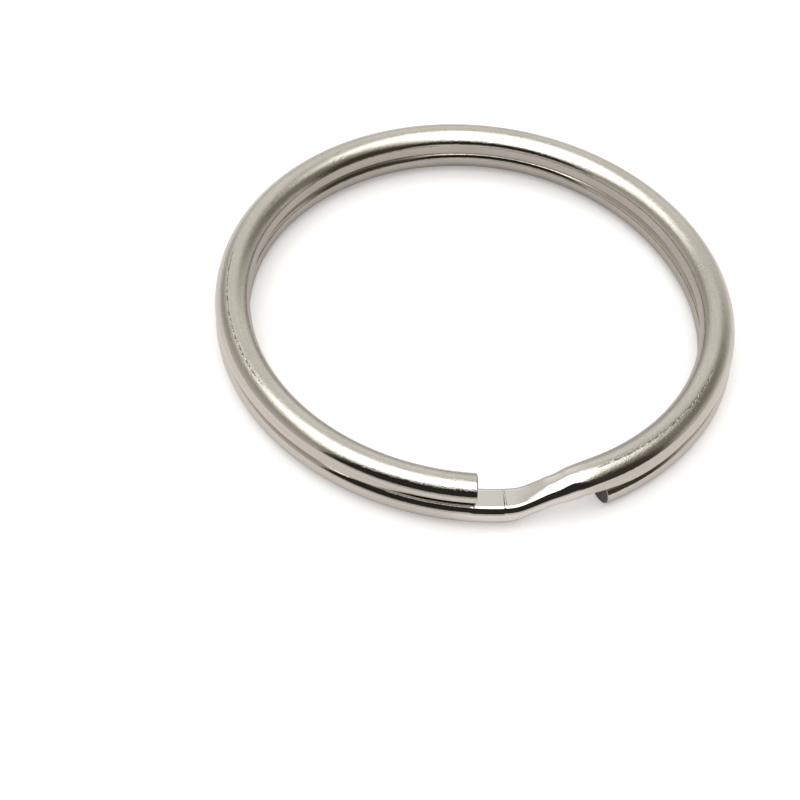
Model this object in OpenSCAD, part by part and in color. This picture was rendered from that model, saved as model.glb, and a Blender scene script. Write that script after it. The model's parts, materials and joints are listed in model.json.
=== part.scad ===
// Split key ring: one spring-steel wire coiled through almost two turns.
//
// The ring lies in the XY plane, centred on the origin, with the plane where its
// two turns meet at Z = 0. The wire crosses from the lower turn to the upper turn
// at the front (-Y). Seen from above, the upper turn runs counter-clockwise from
// the crossover to its free end, and the lower turn runs clockwise. The ring is
// the same after half a turn about the line through its centre and its crossover.
//
// The wire is divided where it twists when a free end is lifted, so that each
// section can turn a little against the one before it.

/* [Ring] */
// Outside diameter of the ring
ring_od = 30; // [24:1:40]
// Width of the wire, measured along the ring's radius
wire_w = 1.95; // [1.9:0.05:2.05]
// Thickness of the wire, from its flat contact face to its crown
turn_t = 1.475; // [1.4:0.025:1.5]
// Radius of the wire's crown
crown_r = 1.04; // [1.03:0.01:1.06]
// Radius of the wire's inner and outer edges
edge_r = 0.7; // [0.7:0.05:0.8]

/* [Crossover and free ends] */
// Half of the angle in which the wire crosses from one turn to the other
crossover_half = 8.5; // [7:0.5:14]
// Angle of bare contact face between the crossover and each free end
bare_angle = 6.2; // [2:0.2:10]
// Width of the crossover's neck, where the wire is narrowest
neck_w = 1.78; // [1.4:0.02:2]
// Height of the crossover's neck, measured straight up through the sloping wire
neck_h = 1.26; // [1.1:0.02:1.4]

/* [Flexing] */
// Angle from the crossover's middle to the first place where the wire twists
first_twist = 45; // [30:5:60]
// Angle between the places where the wire twists
twist_pitch = 60; // [50:5:65]

/* [Clearances] */
// Gap between the contact faces of the two turns
turn_gap = 0.05; // [0.02:0.01:0.1]
// Gap between two sections that turn against each other
section_gap = 0.02; // [0.01:0.01:0.05]

/* [Hidden] */

nickel = [0.76, 0.73, 0.68];
half_wire = wire_w / 2;
edge_x = half_wire - edge_r;
crown_z = turn_t - crown_r;
edge_z = crown_z + sqrt(pow(crown_r - edge_r, 2) - edge_x * edge_x);
flat_x = edge_x + sqrt(edge_r * edge_r - edge_z * edge_z);
mid_r = ring_od / 2 - wire_w / 2;
end_angle = 360 - crossover_half - bare_angle;
trim = section_gap / 2 / mid_r * 180 / PI;
crossover_direction = -90;
last_twist = 4;
arc_steps = 240;
circle_steps = 64;
crossover_stations = 28;
outline_points = 40;
bend = 0.25;

// Angle from the crossover's middle to twist place i
function twist_at(i) = first_twist + i * twist_pitch;

// Smooth ramp from 0 to 1
function ease(t) = t * t * (3 - 2 * t);

// Hump that is 0 at both ends and 1 in the middle
function hump(t) = sin(180 * t) * sin(180 * t);

// Climb from 0 to 1 at a steady slope, with a short bend at each end
function climb(t) =
    t < bend ? t * t / (2 * bend * (1 - bend)) :
    t > 1 - bend ? 1 - (1 - t) * (1 - t) / (2 * bend * (1 - bend)) :
    (t - bend / 2) / (1 - bend);

// Distance from the origin, in unit direction d, to the far side of a circle
function circle_reach(centre, r, d) =
    let (along = centre * d)
        along + sqrt(along * along - centre * centre + r * r);

// Distance from the middle of the upper turn's section to its surface, at an angle.
// The flat contact face is at the bottom, the crown on top and a round edge each side.
function section_reach(angle) =
    let (
        d = [abs(cos(angle)), sin(angle)],
        crown_centre = [0, crown_z - turn_t / 2],
        edge_centre = [edge_x, edge_z - turn_t / 2],
        tangent = crown_centre + crown_r * (edge_centre - crown_centre) / (crown_r - edge_r)
    )
    d[0] * turn_t / 2 <= -d[1] * flat_x ? turn_t / 2 / -d[1] :
    d[1] * tangent[0] >= d[0] * tangent[1] ? circle_reach(crown_centre, crown_r, d) :
    circle_reach(edge_centre, edge_r, d);

// One station of the crossover, from t = 0 on the lower turn to t = 1 on the upper.
// The wire necks in, and its crown moves from the bottom to the top.
function crossover_station(t) =
    let (
        turned = crossover_half * (2 * t - 1),
        narrow = 1 + (neck_w / wire_w - 1) * hump(t),
        thin = 1 + (neck_h / turn_t - 1) * hump(t),
        middle = (turn_t + turn_gap) * (climb(t) - 0.5)
    )
    [
        for (k = [0 : outline_points - 1])
            let (
                angle = 360 * k / outline_points,
                reach = section_reach(-angle) + (section_reach(angle) - section_reach(-angle)) * ease(t),
                r = mid_r + reach * cos(angle) * narrow
            )
            [r * cos(turned), r * sin(turned), middle + reach * sin(angle) * thin]
    ];

// The upper turn's wire in cross-section: flat contact face down, crowned on top.
// The crown's arc ends where it is tangent to the round edges.
module wire_section() {
    crown_centre = [0, crown_z];
    edge_centre = [edge_x, edge_z];
    ray = 4 * (edge_centre - crown_centre);
    translate([mid_r, turn_gap / 2]) {
        intersection() {
            union() {
                intersection() {
                    translate(crown_centre)
                        circle(r = crown_r, $fn = circle_steps);
                    polygon([
                        crown_centre,
                        crown_centre + ray,
                        [ray[0], 2 * turn_t],
                        [-ray[0], 2 * turn_t],
                        crown_centre + [-ray[0], ray[1]]
                    ]);
                }
                for (side = [-1, 1])
                    translate([side * edge_x, edge_z])
                        circle(r = edge_r, $fn = circle_steps);
                translate([-edge_x, 0])
                    square([2 * edge_x, edge_z]);
            }
            translate([-wire_w, 0])
                square([2 * wire_w, 2 * turn_t]);
        }
    }
}

// A length of the upper turn between two angles from the crossover's middle
module upper_arc(from, to) {
    rotate_extrude(angle = to - from, start = from, $fn = arc_steps)
        wire_section();
}

// The same length of the lower turn, on the other side of the crossover
module lower_arc(from, to) {
    rotate([180, 0, 0])
        upper_arc(from, to);
}

// Turns the crossover to the front
module place() {
    rotate([0, 0, crossover_direction])
        color(nickel)
            children();
}

// The climbing length of wire between the two turns
module crossover() {
    stations = crossover_stations;
    outline = outline_points;
    points = [
        for (s = [0 : stations])
            each crossover_station(s / stations)
    ];
    sides = [
        for (s = [0 : stations - 1], k = [0 : outline - 1])
            let (
                n = (k + 1) % outline,
                a = s * outline + k,
                b = s * outline + n,
                c = (s + 1) * outline + n,
                d = (s + 1) * outline + k
            )
            each [[a, b, c], [a, c, d]]
    ];
    first_cap = [for (k = [outline - 1 : -1 : 0]) k];
    last_cap = [for (k = [0 : outline - 1]) stations * outline + k];
    place()
        polyhedron(points = points, faces = concat(sides, [first_cap, last_cap]), convexity = 4);
}

// Section i of the upper turn that lies between two twist places
module upper_middle(i) {
    place()
        upper_arc(twist_at(i) + trim, twist_at(i + 1) - trim);
}

// Section i of the lower turn that lies between two twist places
module lower_middle(i) {
    place()
        lower_arc(twist_at(i) + trim, twist_at(i + 1) - trim);
}

module upper_turn_start() {
    place()
        upper_arc(crossover_half, twist_at(0) - trim);
}

module upper_free_end() {
    place()
        upper_arc(twist_at(last_twist) + trim, end_angle);
}

module lower_turn_start() {
    place()
        lower_arc(crossover_half, twist_at(0) - trim);
}

module lower_free_end() {
    place()
        lower_arc(twist_at(last_twist) + trim, end_angle);
}

crossover();
upper_turn_start();
upper_middle(0);  // upper_turn_right
upper_middle(1);  // upper_turn_back_right
upper_middle(2);  // upper_turn_back_left
upper_middle(3);  // upper_turn_left
upper_free_end();
lower_turn_start();
lower_middle(0);  // lower_turn_left
lower_middle(1);  // lower_turn_back_left
lower_middle(2);  // lower_turn_back_right
lower_middle(3);  // lower_turn_right
lower_free_end();
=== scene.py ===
"""Split key ring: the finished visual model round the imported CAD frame.

The whole wire is swept once, from the lower free end through the crossover to the
upper free end, and then cut into one piece for each CAD node, so that neighbouring
pieces share their edges and normals. Lengths along and across the wire are in
millimetres until a mesh is made; everything in Blender is in metres.
"""
import json
import math

import bpy
import numpy as np
from mathutils import Matrix, Vector


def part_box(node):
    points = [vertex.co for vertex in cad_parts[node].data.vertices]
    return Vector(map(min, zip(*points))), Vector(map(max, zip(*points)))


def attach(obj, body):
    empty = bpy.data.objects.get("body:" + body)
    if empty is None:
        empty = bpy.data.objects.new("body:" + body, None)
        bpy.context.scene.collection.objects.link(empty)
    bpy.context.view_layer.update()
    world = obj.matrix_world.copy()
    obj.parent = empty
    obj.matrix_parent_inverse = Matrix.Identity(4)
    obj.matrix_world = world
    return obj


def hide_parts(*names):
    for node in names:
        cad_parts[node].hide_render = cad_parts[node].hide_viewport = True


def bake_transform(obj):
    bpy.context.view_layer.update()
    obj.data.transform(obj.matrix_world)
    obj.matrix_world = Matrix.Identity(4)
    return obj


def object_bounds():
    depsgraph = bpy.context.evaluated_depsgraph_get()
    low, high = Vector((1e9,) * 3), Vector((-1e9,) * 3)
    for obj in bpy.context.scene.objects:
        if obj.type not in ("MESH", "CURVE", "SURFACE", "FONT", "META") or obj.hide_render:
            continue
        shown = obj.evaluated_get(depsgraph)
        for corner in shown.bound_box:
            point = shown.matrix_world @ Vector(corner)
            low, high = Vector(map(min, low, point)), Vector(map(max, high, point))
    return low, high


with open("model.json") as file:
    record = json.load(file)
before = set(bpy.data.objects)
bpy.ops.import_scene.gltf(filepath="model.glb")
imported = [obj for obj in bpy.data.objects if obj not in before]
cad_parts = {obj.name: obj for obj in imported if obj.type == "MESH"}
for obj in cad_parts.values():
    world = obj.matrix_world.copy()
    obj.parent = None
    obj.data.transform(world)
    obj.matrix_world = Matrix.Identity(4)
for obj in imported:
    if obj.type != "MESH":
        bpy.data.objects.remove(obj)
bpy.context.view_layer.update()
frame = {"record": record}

MM = 0.001

# ---------------------------------------------------------------- sizes, from the frame

RECORD = frame["record"]
JOINTS = RECORD["behaviour"]["joints"]
MOUNTS = {m["name"]: m for m in RECORD["mounts"]}
FRONT = -90.0  # direction of the crossover's middle, in degrees


def angle_from_crossover(pos):
    """Angle round the ring from the crossover's middle, 0 to 360, of a place in metres."""
    return (math.degrees(math.atan2(pos[1], pos[0])) - FRONT) % 360


UPPER_JOINTS = [j for j in JOINTS if j["name"].startswith("upper")]
OUTER_R = math.hypot(*UPPER_JOINTS[0]["pos_m"][:2]) / MM
TWISTS = [angle_from_crossover(j["pos_m"]) for j in UPPER_JOINTS]
FREE_END = angle_from_crossover(MOUNTS["upper_entry"]["pos_m"])
BARE_END = 360 - FREE_END  # where the other turn's free end starts to cover the contact face

turn_low, turn_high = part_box("upper_turn_back_left")
CONTACT_Z = turn_low[2] / MM
TURN_T = (turn_high[2] - turn_low[2]) / MM
CROWN_R = 1.04        # radius of the crown
EDGE_R = 0.7          # radius of the wire's inner and outer edges
HALF_W = 0.975        # half of the wire's width
EDGE_X = HALF_W - EDGE_R
CROWN_Z = TURN_T - CROWN_R
EDGE_Z = CROWN_Z + math.sqrt((CROWN_R - EDGE_R) ** 2 - EDGE_X ** 2)
CORNER_R = 0.28       # rounding between the contact face and the wire's edges
CORNER_REACH = math.sqrt((EDGE_R - CORNER_R) ** 2 - (EDGE_Z - CORNER_R) ** 2)
FLAT_X = EDGE_X + CORNER_REACH
MID_R = OUTER_R - HALF_W
CROSSOVER_HALF = 8.5  # half of the CAD crossover's angle
CROSSING_HALF = 7.9   # the finished crossover is a little steeper than the CAD one
NECK_HALF_W = 0.89    # half of the wire's width at the crossover's neck
NECK_H = 1.24         # height of the wire at the neck
NECK_FADE = 0.36      # part of the crossover in which the wire necks in, at each end
BEND = 0.25           # part of the crossover that each of its bends takes

UPPER_NODES = [
    "upper_turn_start", "upper_turn_right", "upper_turn_back_right",
    "upper_turn_back_left", "upper_turn_left", "upper_free_end",
]
LOWER_NODES = [
    "lower_turn_start", "lower_turn_left", "lower_turn_back_left",
    "lower_turn_back_right", "lower_turn_right", "lower_free_end",
]

# ---------------------------------------------------------------- the wire's shape

AROUND = 160          # points round the wire
RAW_POINTS = 720      # points round the section before they are spaced evenly
TURN_STEP = 0.9       # degrees between stations on the turns
FINE_STEP = 0.16      # degrees between stations at the crossover and the free ends
UPPER_SPRING = 0.02   # how far the upper free end stands off the other turn
LOWER_SPRING = 0.15   # how far the lower free end stands off
SPRING_START = 200    # angle from the crossover where a turn starts to stand off
END_ROUND = 0.15      # largest rounding of a cut end's rim
END_SHARP = 0.025     # smallest rounding of a cut end's rim
RIM_STEPS = (0.15, 0.12, 0.09, 0.065, 0.045, 0.028, 0.015, 0.006, 0.0)  # mm before the cut
# Where a turn stands out from a true circle: (how far, angle from the crossover, spread)
UPPER_BULGES = ((0.16, 71, 33), (0.045, 290, 45))
LOWER_BULGES = ((0.23, 299, 27), (0.28, 206, 38))
FLANK = 0.08          # how much fuller the upper turn's flanks are than the plain section
START_FLANK = 0.12    # how much fuller still they are just past the crossover
START_FLANK_AT = 18   # angle from the crossover where that is most
START_FLANK_SPREAD = 14
FLANK_HEIGHT = 0.3    # height of the fullest place above the contact face
FLANK_SPREAD = 0.28   # how far up and down the fullness reaches
BEVEL_FOOT = 0.34     # where the bevel at the upper free end meets the contact face
BEVEL_SLOPE = 0.92    # how far the bevel goes out for each mm up
BEVEL_EASE = 0.02     # how softly the bevel begins
BEVEL_START = 28      # degrees before the free end where the bevel begins
BEVEL_FULL = 5        # and where it has its full size
BED_DEPTH = 0.02      # depth of the bed that is pressed into the bare contact face
BED_TILT = 0.03       # how much deeper the bed gets for each mm outward
BED_FADE = 0.75       # height in the wire over which the bed fades out
BURR_HEIGHT = 0.045   # of the burr that the other turn's free end leaves on the bare face
BURR_WAVE = 0.02      # how uneven the burr is
LATE_CLIMB = 0.17     # how far the wire still is below the upper turn after the crossover
LATE_CLIMB_AT = 5.5   # angle from the crossover where that is most
POLISH_FADE = 3       # degrees before and after the crossover's ends where the polish fades


def ramp(value, start, end):
    """0 before start, 1 after end, smooth between."""
    t = np.clip((value - start) / (end - start), 0.0, 1.0)
    return t * t * (3 - 2 * t)


def climb(t):
    """0 to 1 at a steady slope, with a short bend at each end."""
    if t < BEND:
        return t * t / (2 * BEND * (1 - BEND))
    if t > 1 - BEND:
        return 1 - (1 - t) ** 2 / (2 * BEND * (1 - BEND))
    return (t - BEND / 2) / (1 - BEND)


def circle_reach(centre, r, d):
    """How far unit directions d from the origin go before they leave a circle."""
    along = d @ np.array(centre)
    return along + np.sqrt(along ** 2 - centre[0] ** 2 - centre[1] ** 2 + r * r)


def section_reach(angle):
    """From the middle of the upper turn's section to its surface, at angles in radians."""
    d = np.stack([np.abs(np.cos(angle)), np.sin(angle)], axis=-1)
    crown = np.array([0, CROWN_Z - TURN_T / 2])
    edge = np.array([EDGE_X, EDGE_Z - TURN_T / 2])
    corner = np.array([FLAT_X, CORNER_R - TURN_T / 2])
    crown_end = crown + CROWN_R * (edge - crown) / (CROWN_R - EDGE_R)
    edge_end = edge + EDGE_R * (corner - edge) / (EDGE_R - CORNER_R)

    def turned_past(point):
        return d[:, 1] * point[0] >= d[:, 0] * point[1]

    return np.select(
        [turned_past(crown_end), turned_past(edge_end), turned_past((FLAT_X, -TURN_T / 2))],
        [
            circle_reach(crown, CROWN_R, d),
            circle_reach(edge, EDGE_R, d),
            circle_reach(corner, CORNER_R, d),
        ],
        TURN_T / 2 / np.maximum(-d[:, 1], 1e-9),
    )


def even_outline(middle, turned, narrow, thin):
    """Points spaced evenly round a section, from its outermost point over the top.

    turned is 0 with the crown at the bottom, as on the lower turn, and 1 with it on top.
    """
    angle = np.linspace(0, 2 * math.pi, RAW_POINTS + 1)
    reach = section_reach(-angle) * (1 - turned) + section_reach(angle) * turned
    raw = np.stack([reach * np.cos(angle) * narrow, middle + reach * np.sin(angle) * thin], axis=1)
    length = np.concatenate([[0], np.cumsum(np.hypot(*np.diff(raw, axis=0).T))])
    at = np.linspace(0, length[-1], AROUND + 1)[:-1]
    return np.stack([np.interp(at, length, raw[:, i]) for i in (0, 1)], axis=1)


def upper_outline(psi):
    """The section at psi degrees past the crossover's middle on the upper side."""
    t = (psi + CROSSING_HALF) / (2 * CROSSING_HALF)
    if t >= 1:
        return even_outline(CONTACT_Z + TURN_T / 2, 1.0, 1.0, 1.0)
    neck = float(ramp(t, 0.0, NECK_FADE) * ramp(1 - t, 0.0, NECK_FADE))
    narrow = 1 + (NECK_HALF_W / HALF_W - 1) * neck
    thin = 1 + (NECK_H / TURN_T - 1) * neck
    middle = (TURN_T + 2 * CONTACT_Z) * (climb(t) - 0.5)
    return even_outline(middle, float(ramp(t, 0.0, 1.0)), narrow, thin)


def flipped(outline):
    """The same section on the lower side: upside down, still starting at its outermost point."""
    turned = outline * (1, -1)
    return np.concatenate([turned[:1], turned[:0:-1]])


def wire_outline(psi):
    return upper_outline(psi) if psi >= 0 else flipped(upper_outline(-psi))


def inward(outline):
    """Unit normals of a closed outline, pointing into the wire."""
    along = np.roll(outline, -1, axis=0) - np.roll(outline, 1, axis=0)
    along /= np.linalg.norm(along, axis=1, keepdims=True)
    return np.stack([-along[:, 1], along[:, 0]], axis=1)


def shaped(psi, outline):
    """Adds to a section what the plain one lacks: fuller flanks, press marks and spring-back."""
    side = 1 if psi >= 0 else -1
    away = abs(psi)
    x, z = outline[:, 0].copy(), outline[:, 1].copy()

    # The upper turn's flanks are a little fuller, and its outer edge is bevelled underneath
    # toward the free end. The wire reaches its full height a little after the crossover.
    if side > 0:
        up = z - CONTACT_Z
        near_edge = np.sign(x) * ramp(np.abs(x), 0.4, 0.85)
        flank = near_edge * np.exp(-((up - FLANK_HEIGHT) / FLANK_SPREAD) ** 2)
        just_past = math.exp(-((away - START_FLANK_AT) / START_FLANK_SPREAD) ** 2)
        just_past *= ramp(away, 8, 13)
        x += (FLANK * ramp(away, 12, 24) + START_FLANK * just_past) * flank
        over = x - BEVEL_FOOT - np.clip(up, 0, None) * BEVEL_SLOPE
        bevel = float(ramp(away, FREE_END - BEVEL_START, FREE_END - BEVEL_FULL))
        x -= bevel * np.where(over > 0, over * over / (over + BEVEL_EASE), 0)
        z -= LATE_CLIMB * ramp(away, 0, 5) * math.exp(-((away - LATE_CLIMB_AT) / 4.2) ** 2)

    # The other turn's free end leaves a shallow bed on the bare contact face and a burr.
    bed = ramp(away, CROSSOVER_HALF - 0.2, CROSSOVER_HALF + 0.15)
    bed *= ramp(-away, -BARE_END - 1.5, -BARE_END - 0.5)
    burr = math.exp(-((away - CROSSOVER_HALF + 0.25) / 0.16) ** 2)
    near_face = ramp(CONTACT_Z + BED_FADE - side * outline[:, 1], 0.0, BED_FADE)
    across_face = np.exp(-(np.maximum(np.abs(x) - 0.45, 0) / 0.1) ** 2)
    on_face = across_face * np.where(near_face > 0.5, 1, 0)
    z += side * near_face * (BED_DEPTH + BED_TILT * x) * bed
    z -= side * on_face * burr * (BURR_HEIGHT + BURR_WAVE * np.sin(9 * x + 1))

    # Each free end springs back a little from the turn it lies on.
    spring = UPPER_SPRING if side > 0 else -LOWER_SPRING
    z += spring * ramp(away, SPRING_START, FREE_END)

    for bulge, middle, spread in UPPER_BULGES if side > 0 else LOWER_BULGES:
        x += bulge * math.exp(-((away - middle) / spread) ** 2)
    return np.stack([x, z], axis=1)


def end_inset(outline, side, to_end):
    """How far a cut end's rim is drawn in, at a distance to_end before the cut."""
    x, z = outline[:, 0], side * outline[:, 1]
    rolled = np.clip((z - CONTACT_Z) / TURN_T, 0, 1) * np.clip(0.75 - 0.5 * x / HALF_W, 0.2, 1)
    radius = END_SHARP + (END_ROUND - END_SHARP) * rolled
    short = np.clip(radius - to_end, 0, None)
    return radius - np.sqrt(np.clip(radius ** 2 - short ** 2, 0, None))


def stations():
    """(angle from the crossover, distance to the cut in mm) all along the wire."""
    degree = MID_R * math.pi / 180
    half = [0.0]
    stops = [
        (CROSSOVER_HALF - 0.9, FINE_STEP),
        (CROSSOVER_HALF, FINE_STEP / 2),
        (CROSSOVER_HALF + 0.6, FINE_STEP / 2),
        (BARE_END + 1.5, FINE_STEP),
    ]
    stops += [(twist, TURN_STEP) for twist in TWISTS]
    stops += [(FREE_END - 3, TURN_STEP), (FREE_END - RIM_STEPS[0] / degree, FINE_STEP)]
    for stop, step in stops:
        count = max(1, round((stop - half[-1]) / step))
        half += list(np.linspace(half[-1], stop, count + 1)[1:])
    upper = [(a, (FREE_END - a) * degree) for a in half]
    upper += [(FREE_END - d / degree, d) for d in RIM_STEPS[1:]]
    lower = [(-a, d) for a, d in upper[:0:-1]]
    return lower + upper


def to_world(psi, outline):
    """Section points to XYZ in mm."""
    a = math.radians(FRONT + psi)
    r = MID_R + outline[:, 0]
    return np.stack([r * math.cos(a), r * math.sin(a), outline[:, 1]], axis=1)


def sweep():
    """The whole wire: places, normals and the co-ordinates that the material uses.

    wire_co is a point's length along the wire and its place in the plain section, crown is
    its distance round the wire from the crown's middle, and polish is 1 where it is polished.
    """
    stops = stations()
    places, wire_co, crown, polish = [], [], [], []
    for psi, to_end in stops:
        side = 1 if psi >= 0 else -1
        plain = wire_outline(psi)
        outline = shaped(psi, plain)
        if to_end < END_ROUND:
            outline = outline + inward(outline) * end_inset(plain, side, to_end)[:, None]
        places.append(to_world(psi, outline))
        s = MID_R * math.radians(psi)
        wire_co.append(np.stack([np.full(AROUND, s), plain[:, 0], plain[:, 1]], axis=1))
        girth = np.hypot(*(np.roll(plain, -1, axis=0) - plain).T).sum()
        turn_part = np.arange(AROUND) / AROUND
        crown.append(girth * (turn_part - 0.25 if side > 0 else 0.75 - turn_part))
        away = abs(psi)
        polished = 1 - ramp(away, CROSSOVER_HALF - POLISH_FADE, CROSSOVER_HALF + POLISH_FADE)
        face = ramp(-away, -BARE_END - 8, -BARE_END + 1) if side < 0 else 0.0
        polish.append(np.full(AROUND, max(float(polished), float(face))))
    places = np.array(places)
    along = np.gradient(places, axis=0)
    around = np.roll(places, -1, axis=1) - np.roll(places, 1, axis=1)
    normals = np.cross(along, around)
    normals /= np.linalg.norm(normals, axis=2, keepdims=True)
    return stops, places, normals, np.array(wire_co), np.array(crown), np.array(polish)


STOPS, PLACES, NORMALS, WIRE_CO, CROWN, POLISH = sweep()
STOP_ANGLES = np.array([psi for psi, _ in STOPS])


def cap_rings(rim, centre, face_normal, seed):
    """Rings of points from a cut end's rim to its middle, with the tool's rough relief."""
    rng = np.random.default_rng(seed)
    rings = []
    for shrink in (0.93, 0.82, 0.66, 0.46, 0.24):
        ring = centre + (rim - centre) * shrink
        relief = 0.006 * rng.standard_normal(AROUND)
        relief = (relief + np.roll(relief, 1) + np.roll(relief, -1)) / 1.7
        rings.append(ring + face_normal * (relief - 0.012)[:, None])
    return rings


def wire_piece(name, start, end, materials):
    """One closed piece of the wire, between two angles from the crossover."""
    first = int(np.argmin(np.abs(STOP_ANGLES - start)))
    last = int(np.argmin(np.abs(STOP_ANGLES - end)))
    rows = range(first, last + 1)
    verts = [p for i in rows for p in PLACES[i]]
    co = [c for i in rows for c in WIRE_CO[i]]
    crown = [c for i in rows for c in CROWN[i]]
    polish = [c for i in rows for c in POLISH[i]]
    faces, normals, slots = [], [], []
    for i in range(last - first):
        for k in range(AROUND):
            n = (k + 1) % AROUND
            loop = (i * AROUND + k, (i + 1) * AROUND + k, (i + 1) * AROUND + n, i * AROUND + n)
            faces.append(loop)
            slots.append(0)
            normals += [NORMALS[first + v // AROUND][v % AROUND] for v in loop]

    for row, outward in ((0, -1), (last - first, 1)):
        rim = PLACES[first + row]
        centre = rim.mean(axis=0)
        a = math.radians(FRONT + STOP_ANGLES[first + row])
        face_normal = outward * np.array([-math.sin(a), math.cos(a), 0.0])
        is_cut = first + row in (0, len(STOPS) - 1)
        ring_start = row * AROUND
        rings = cap_rings(rim, centre, face_normal, first + row) if is_cut else []
        for ring in rings + [centre[None]]:
            new_start = len(verts)
            verts += list(ring)
            count = len(ring)
            co += [(WIRE_CO[first + row][0][0], 0.0, 0.0)] * count
            crown += [0.0] * count
            polish += [0.0] * count
            for k in range(AROUND):
                n = (k + 1) % AROUND
                if count == 1:
                    loop = (ring_start + k, ring_start + n, new_start)
                else:
                    loop = (ring_start + k, ring_start + n, new_start + n, new_start + k)
                if outward > 0:
                    loop = loop[::-1]
                faces.append(loop)
                slots.append(1 if is_cut else 0)
                normals += [face_normal] * len(loop)
            ring_start = new_start

    mesh = bpy.data.meshes.new(name)
    mesh.from_pydata([Vector(v) * MM for v in verts], [], faces)
    for material in materials:
        mesh.materials.append(material)
    mesh.polygons.foreach_set("material_index", slots)
    mesh.polygons.foreach_set("use_smooth", [True] * len(faces))
    for key, kind, field, values in (
        ("wire_co", "FLOAT_VECTOR", "vector", np.array(co, float).ravel()),
        ("crown", "FLOAT", "value", np.array(crown, float)),
        ("polish", "FLOAT", "value", np.array(polish, float)),
    ):
        mesh.attributes.new(key, kind, "POINT").data.foreach_set(field, values)
    mesh.update()
    mesh.normals_split_custom_set([tuple(n) for n in normals])
    piece = bpy.data.objects.new(name, mesh)
    bpy.context.scene.collection.objects.link(piece)
    return piece


# ---------------------------------------------------------------- materials

PLATE_TONES = ((0.60, 0.575, 0.53, 1), (0.665, 0.635, 0.585, 1))
STREAK_TONE = (0.55, 0.53, 0.47, 1)
GRAIN_TONE = (0.42, 0.40, 0.35, 1)
POLISHED_TONE = (0.76, 0.73, 0.70, 1)
# Near black: painted shade in the seam between the turns, laid on their covered contact faces
SEAM_SHADE_TONE = (0.07, 0.06, 0.05, 1)
DIE_LINE_TONE = (0.16, 0.14, 0.11, 1)
STEEL_TONES = ((0.10, 0.095, 0.09, 1), (0.27, 0.25, 0.23, 1))
DRAG_TONE = (0.35, 0.32, 0.29, 1)
# Stretches of the die line: first and last angle from the crossover, and how far outside
# the crown it runs, in mm round the wire
DIE_LINES = ((12, 56, 0.26), (246, 290, 0.41))


class Nodes:
    """Short ways to add and join shader nodes."""

    def __init__(self, tree):
        self.tree = tree
        tree.nodes.clear()

    def add(self, kind, inputs=None, **settings):
        node = self.tree.nodes.new(kind)
        for key, value in settings.items():
            setattr(node, key, value)
        for key, value in (inputs or {}).items():
            if isinstance(value, bpy.types.NodeSocket):
                self.tree.links.new(value, node.inputs[key])
            else:
                node.inputs[key].default_value = value
        return node

    def math(self, operation, a, b=0.5, c=0.5):
        return self.add("ShaderNodeMath", {0: a, 1: b, 2: c}, operation=operation).outputs[0]

    def noise(self, vector, scale, detail=2.0, roughness=0.5):
        inputs = {"Vector": vector, "Scale": scale, "Detail": detail, "Roughness": roughness}
        return self.add("ShaderNodeTexNoise", inputs).outputs["Fac"]

    def scaled(self, vector, scale):
        node = self.add("ShaderNodeVectorMath", {0: vector, 1: scale}, operation="MULTIPLY")
        return node.outputs[0]

    def between(self, value, low, high, to_low=0.0, to_high=1.0, smooth=False):
        kind = "SMOOTHSTEP" if smooth else "LINEAR"
        inputs = {
            "Value": value, "From Min": low, "From Max": high, "To Min": to_low, "To Max": to_high,
        }
        return self.add("ShaderNodeMapRange", inputs, interpolation_type=kind).outputs["Result"]

    def mix_color(self, factor, a, b):
        node = self.add("ShaderNodeMix", data_type="RGBA")
        for index, value in ((0, factor), (6, a), (7, b)):
            if isinstance(value, bpy.types.NodeSocket):
                self.tree.links.new(value, node.inputs[index])
            else:
                node.inputs[index].default_value = value
        return node.outputs[2]


def new_material(name):
    material = bpy.data.materials.new(name)
    material.use_nodes = True
    return material, Nodes(material.node_tree)


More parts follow.
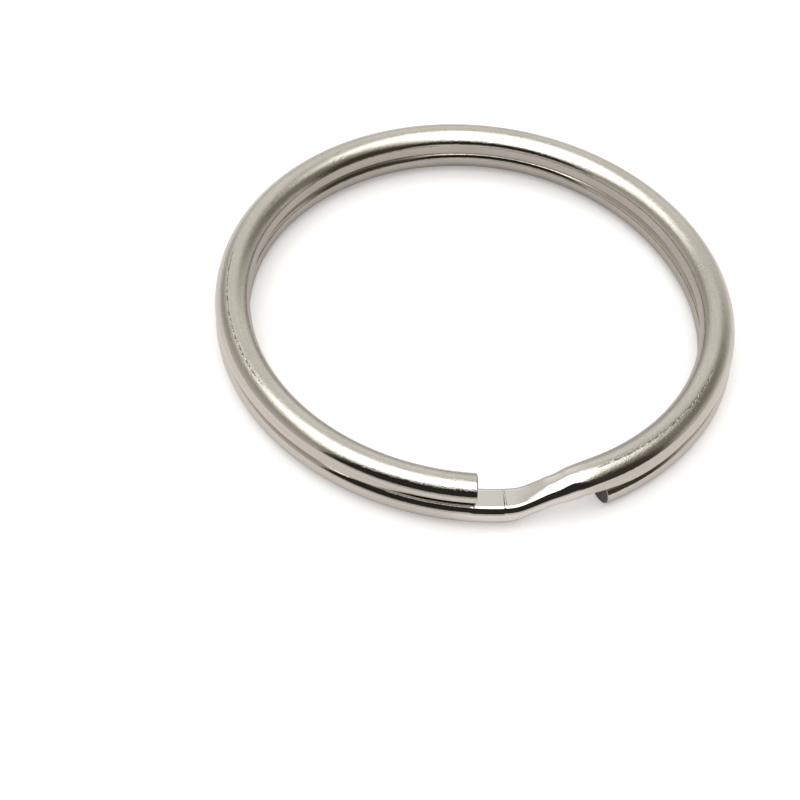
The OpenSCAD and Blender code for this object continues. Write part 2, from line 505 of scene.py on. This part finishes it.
def nickel_material():
    """Nickel plate: finely grained along the turns, polished at the crossover, with painted shade
    in the seam between the turns.
    """
    material, n = new_material("nickel_plate")
    co = n.add("ShaderNodeAttribute", attribute_name="wire_co").outputs["Vector"]
    crown = n.add("ShaderNodeAttribute", attribute_name="crown").outputs["Fac"]
    polish = n.add("ShaderNodeAttribute", attribute_name="polish").outputs["Fac"]
    on_crown = n.between(n.math("ABSOLUTE", crown), 0.65, 1.15, 1.0, 0.12, smooth=True)
    satin = n.math("MULTIPLY", n.math("SUBTRACT", 1.0, polish), on_crown)

    grain = n.noise(co, 11.0, 3.0, 0.6)
    streaks = n.noise(n.scaled(co, (0.35, 9.0, 9.0)), 1.0, 3.0, 0.65)
    patches = n.noise(n.scaled(co, (0.25, 0.8, 0.8)), 1.0, 2.0, 0.5)
    fine = n.noise(co, 12.0, 2.0, 0.6)

    # A broken, dark die line runs along the upper turn's crown on two stretches.
    along_wire = n.add("ShaderNodeSeparateXYZ", {0: co}).outputs["X"]
    degrees = n.math("MULTIPLY", along_wire, 180 / math.pi / MID_R)
    wander = n.between(n.noise(n.scaled(co, (1.1, 0, 0)), 1.0, 2.0), 0.3, 0.7, -0.02, 0.02)
    lines = []
    for start, end, outside in DIE_LINES:
        off_line = n.math("ABSOLUTE", n.math("ADD", n.math("ADD", crown, outside), wander))
        line = n.between(off_line, 0.015, 0.05, 1.0, 0.0, smooth=True)
        begun = n.between(degrees, start, start + 3)
        not_ended = n.between(degrees, end - 3, end, 1.0, 0.0)
        lines.append(n.math("MULTIPLY", line, n.math("MULTIPLY", begun, not_ended)))
    breaks = n.noise(n.scaled(co, (2.6, 0, 0)), 1.0, 3.0, 0.7)
    broken = n.between(breaks, 0.42, 0.56, smooth=True)
    marks = n.math("MULTIPLY", n.math("MAXIMUM", *lines), broken)

    tone = n.mix_color(n.between(patches, 0.3, 0.7), *PLATE_TONES)
    tone = n.mix_color(n.between(streaks, 0.35, 0.7, 0.0, 0.3), tone, STREAK_TONE)
    dull = n.math("MULTIPLY", satin, n.between(fine, 0.4, 0.65, 0.0, 0.3))
    tone = n.mix_color(dull, tone, GRAIN_TONE)
    tone = n.mix_color(polish, tone, POLISHED_TONE)
    # The contact faces where the other turn covers them are painted near black: painted shade in
    # the seam between the turns.
    height_on_wire = n.add("ShaderNodeSeparateXYZ", {0: co}).outputs["Z"]
    from_contact = n.math("ABSOLUTE", height_on_wire)
    face = n.between(from_contact, CONTACT_Z + 0.003, CONTACT_Z + 0.01, 1.0, 0.0)
    covered = n.between(n.math("ABSOLUTE", degrees), BARE_END, BARE_END + 0.6)
    tone = n.mix_color(n.math("MULTIPLY", face, covered), tone, SEAM_SHADE_TONE)
    tone = n.mix_color(marks, tone, DIE_LINE_TONE)

    rough = n.between(streaks, 0.3, 0.7, 0.06, 0.10)
    rough = n.math("ADD", rough, n.between(grain, 0.3, 0.7, -0.015, 0.03))
    satin_rough = n.math("MULTIPLY_ADD", satin, 0.7, 0.3)
    rough = n.math("MULTIPLY_ADD", rough, satin_rough, n.math("MULTIPLY", marks, 0.25))

    height = n.math("MULTIPLY_ADD", streaks, 0.12, n.math("MULTIPLY", grain, 0.3))
    height = n.math("MULTIPLY_ADD", fine, 0.6, height)
    height = n.math("MULTIPLY", height, n.math("MULTIPLY_ADD", satin, 0.95, 0.05))
    height = n.math("SUBTRACT", height, n.math("MULTIPLY", marks, 1.2))
    bump = n.add("ShaderNodeBump", {"Height": height, "Strength": 0.45, "Distance": 0.05 * MM})

    shader = n.add("ShaderNodeBsdfPrincipled", {
        "Base Color": tone, "Metallic": 1.0, "Roughness": rough, "Normal": bump.outputs[0],
    })
    n.add("ShaderNodeOutputMaterial", {"Surface": shader.outputs[0]})
    return material


def cut_material():
    """The sheared end of the wire: bare steel, torn and dark. Its co-ordinates are in metres."""
    material, n = new_material("sheared_steel")
    co = n.add("ShaderNodeTexCoord").outputs["Object"]
    grain = n.noise(co, 9000.0, 4.0, 0.7)
    drag = n.noise(n.scaled(co, (9000.0, 9000.0, 900.0)), 1.0, 2.0, 0.6)
    tone = n.mix_color(n.between(grain, 0.3, 0.7), *STEEL_TONES)
    tone = n.mix_color(n.between(drag, 0.45, 0.65, 0.0, 0.5), tone, DRAG_TONE)
    rough = n.between(drag, 0.3, 0.7, 0.32, 0.5)
    height = n.math("ADD", grain, drag)
    bump = n.add("ShaderNodeBump", {"Height": height, "Strength": 0.6, "Distance": 0.04 * MM})
    shader = n.add("ShaderNodeBsdfPrincipled", {
        "Base Color": tone, "Metallic": 1.0, "Roughness": rough, "Normal": bump.outputs[0],
    })
    n.add("ShaderNodeOutputMaterial", {"Surface": shader.outputs[0]})
    return material


# ---------------------------------------------------------------- pieces of the wire, the root ones on their body


def add_wire():
    """Cuts the wire into one piece for each node and hides that node's CAD part; pieces of the root
    body are attached to it, the others have their transform baked in.
    """
    materials = (nickel_material(), cut_material())
    bodies = RECORD["behaviour"]["bodies"]
    body_of_node = {node: body for body, nodes in bodies.items() for node in nodes}
    bounds = [CROSSOVER_HALF] + TWISTS + [FREE_END]
    spans = [("crossover", -CROSSOVER_HALF, CROSSOVER_HALF)]
    for side, nodes in ((1, UPPER_NODES), (-1, LOWER_NODES)):
        for node, near, far in zip(nodes, bounds, bounds[1:]):
            spans.append((node, side * near, side * far))
    for node, near, far in spans:
        piece = wire_piece(f"{node}_wire", min(near, far), max(near, far), materials)
        body = body_of_node[node]
        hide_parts(node)
        if body == "root":
            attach(piece, body)
            continue
        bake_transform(piece)


# ---------------------------------------------------------------- floor, light and camera

VIEW_DIRECTION = math.radians(-110.8)  # where the camera stands, round the ring
VIEW_HEIGHT = math.radians(46.17)
VIEW_DISTANCE = 0.1298  # m
VIEW_ROLL = math.radians(7.83)
VIEW_PAN = math.radians(1.905)   # how far right of the camera's axis the ring stands
VIEW_TILT = math.radians(2.327)  # how far above it
LENS = 100.0        # mm
SENSOR = 36.0       # mm
TABLE_SIZE = 1.2    # m
TABLE_GAP = 0.02    # mm between the table and the ring
TABLE_TONES = ((0.845, 0.84, 0.86, 1), (0.875, 0.87, 0.885, 1))
TABLE_GLOW = 0.25   # light that comes up through the table, so that its open part is pure white
SHADE_TONE = (0.58, 0.55, 0.56, 1)  # the table that the metal mirrors, inside the ring
OPEN_TONE = (0.80, 0.77, 0.79, 1)   # and outside it
# The room behind the ring and in front of it, the horizon, and dark patches in the room:
# azimuth from the camera's, elevation, half angle, how many degrees of it fade, and tone
ROOM_TONES = ((0.95, 0.94, 0.90, 1), (0.44, 0.41, 0.37, 1))
HORIZON_TONE = (0.62, 0.60, 0.58, 1)
HIGH_PATCHES = (
    (-122, 12, 26, 22, (0.34, 0.31, 0.27, 1)),
    (112, 44, 44, 26, (0.26, 0.235, 0.20, 1)),
)
LOW_PATCH = (62, 16, 34, 18, (0.06, 0.05, 0.038, 1))
# The overhead light's near and far edges, and how softly they end, as slopes from the vertical
LIGHT_ACROSS = (-1.05, 0.78, 0.45)
LIGHT_ALONG = (-0.50, 1.18, 0.14)
LIGHT_TONE = (2.4, 2.38, 2.30, 1)
CARD_TONE = (0.028, 0.025, 0.022, 1)
# Half width, distance toward the camera and height of the black card's top and bottom edges, in mm
CARD_EDGES = ((29, 37, 46), (86, 78, 17))


def add_floor():
    """A plain white table just under the ring."""
    low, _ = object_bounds()
    bpy.ops.mesh.primitive_plane_add(size=TABLE_SIZE, location=(0, 0, low[2] - TABLE_GAP * MM))
    floor = bpy.context.object
    floor.name = "floor"
    material, n = new_material("white_table")
    paper = n.add("ShaderNodeTexCoord").outputs["Object"]
    tone = n.mix_color(n.noise(paper, 900.0, 3.0), *TABLE_TONES)
    # The ring lies in its own shade, so the metal mirrors a duller table than the open one.
    seen = n.add("ShaderNodeLightPath").outputs["Is Camera Ray"]
    radius = n.add("ShaderNodeVectorMath", {0: paper}, operation="LENGTH").outputs["Value"]
    outside = n.between(radius, 13.5 * MM, 15.5 * MM)
    shaded = n.mix_color(outside, SHADE_TONE, OPEN_TONE)
    tone = n.mix_color(seen, shaded, tone)
    shader = n.add("ShaderNodeBsdfPrincipled", {
        "Base Color": tone, "Roughness": 0.6, "Specular IOR Level": 0.2,
        "Emission Color": (1.0, 1.0, 1.0, 1),
        "Emission Strength": n.math("MULTIPLY", seen, TABLE_GLOW),
    })
    n.add("ShaderNodeOutputMaterial", {"Surface": shader.outputs[0]})
    floor.data.materials.append(material)


def add_studio_light():
    """A wide soft light overhead and a dim warm room, which the camera itself sees as white."""
    world = bpy.data.worlds.new("studio")
    bpy.context.scene.world = world
    world.use_nodes = True
    n = Nodes(world.node_tree)
    direction = n.add("ShaderNodeTexCoord").outputs["Generated"]

    def along(azimuth, elevation=0.0):
        """How far the direction points toward an azimuth, counted from the camera's, in degrees."""
        a, e = VIEW_DIRECTION + math.radians(azimuth), math.radians(elevation)
        axis = (math.cos(a) * math.cos(e), math.sin(a) * math.cos(e), math.sin(e))
        dot = n.add("ShaderNodeVectorMath", {0: direction, 1: axis}, operation="DOT_PRODUCT")
        return dot.outputs["Value"]

    def spot(azimuth, elevation, half_angle, soft):
        """A round patch of the room that fades over its last few degrees."""
        edge = math.cos(math.radians(half_angle))
        core = math.cos(math.radians(half_angle - soft))
        return n.between(along(azimuth, elevation), edge, core, smooth=True)

    height = n.add("ShaderNodeSeparateXYZ", {0: direction}).outputs["Z"]
    above = n.math("MAXIMUM", height, 0.001)
    toward_front = n.math("DIVIDE", along(0), above)
    toward_right = n.math("DIVIDE", along(90), above)

    def strip(value, low, high, soft):
        """1 where a value lies well between low and high, and 0 outside them."""
        rise = n.between(value, low, low + soft, smooth=True)
        fall = n.between(value, high - soft, high, 1.0, 0.0, smooth=True)
        return n.math("MULTIPLY", rise, fall)

    room = n.mix_color(n.between(along(0), -0.95, 0.1, smooth=True), *ROOM_TONES)
    for *patch, patch_tone in HIGH_PATCHES:
        room = n.mix_color(spot(*patch), room, patch_tone)
    room = n.mix_color(n.between(height, 0.42, 0.05, smooth=True), room, HORIZON_TONE)
    *patch, patch_tone = LOW_PATCH
    room = n.mix_color(spot(*patch), room, patch_tone)
    across = strip(toward_right, *LIGHT_ACROSS)
    light = n.math("MULTIPLY", across, strip(toward_front, *LIGHT_ALONG))
    light = n.math("MULTIPLY", light, n.between(height, 0.3, 0.4))
    room = n.mix_color(light, room, LIGHT_TONE)
    seen = n.add("ShaderNodeLightPath").outputs["Is Camera Ray"]
    room = n.mix_color(seen, room, (1.0, 1.0, 1.0, 1))
    background = n.add("ShaderNodeBackground", {"Color": room, "Strength": 1.0})
    n.add("ShaderNodeOutputWorld", {"Surface": background.outputs[0]})


def add_black_card():
    """The black card that hangs close to the ring on the camera's side, seen only in the metal."""
    front = Vector((math.cos(VIEW_DIRECTION), math.sin(VIEW_DIRECTION), 0.0))
    right = Vector((-front.y, front.x, 0.0))
    corners = []
    for half_width, near, height in CARD_EDGES:
        middle = front * near + Vector((0, 0, height))
        corners += [(middle - right * half_width) * MM, (middle + right * half_width) * MM]
    mesh = bpy.data.meshes.new("black_card")
    mesh.from_pydata(corners, [], [(0, 1, 3, 2)])
    material, n = new_material("black_card")
    shader = n.add("ShaderNodeEmission", {"Color": CARD_TONE, "Strength": 1.0})
    n.add("ShaderNodeOutputMaterial", {"Surface": shader.outputs[0]})
    mesh.materials.append(material)
    card = bpy.data.objects.new("black_card", mesh)
    bpy.context.scene.collection.objects.link(card)
    card.visible_camera = False
    card.visible_shadow = False
    card.visible_diffuse = False


def add_camera():
    """A camera at the photograph's place, turned aside so that the ring stands where it does."""
    back = Vector((
        math.cos(VIEW_DIRECTION) * math.cos(VIEW_HEIGHT),
        math.sin(VIEW_DIRECTION) * math.cos(VIEW_HEIGHT),
        math.sin(VIEW_HEIGHT),
    ))
    aim = back.to_track_quat("Z", "Y").to_matrix()
    # In the camera's own axes the ring stands at the pan and tilt angles from the middle.
    ring = Vector((math.tan(VIEW_PAN), math.tan(VIEW_TILT), -1.0)).normalized()
    swing = Vector((0, 0, -1)).rotation_difference(ring).to_matrix()
    camera = bpy.data.objects.new("camera", bpy.data.cameras.new("camera"))
    camera.data.lens = LENS
    camera.data.sensor_width = SENSOR
    camera.data.clip_start = 0.01
    camera.data.clip_end = 10.0
    roll = Matrix.Rotation(VIEW_ROLL, 3, "Z")
    turned = aim @ roll @ swing.inverted()
    camera.matrix_world = Matrix.Translation(back * VIEW_DISTANCE) @ turned.to_4x4()
    bpy.context.scene.collection.objects.link(camera)
    bpy.context.scene.camera = camera


add_wire()
add_floor()
add_studio_light()
add_black_card()
add_camera()
bpy.context.scene.view_settings.view_transform = "Standard"
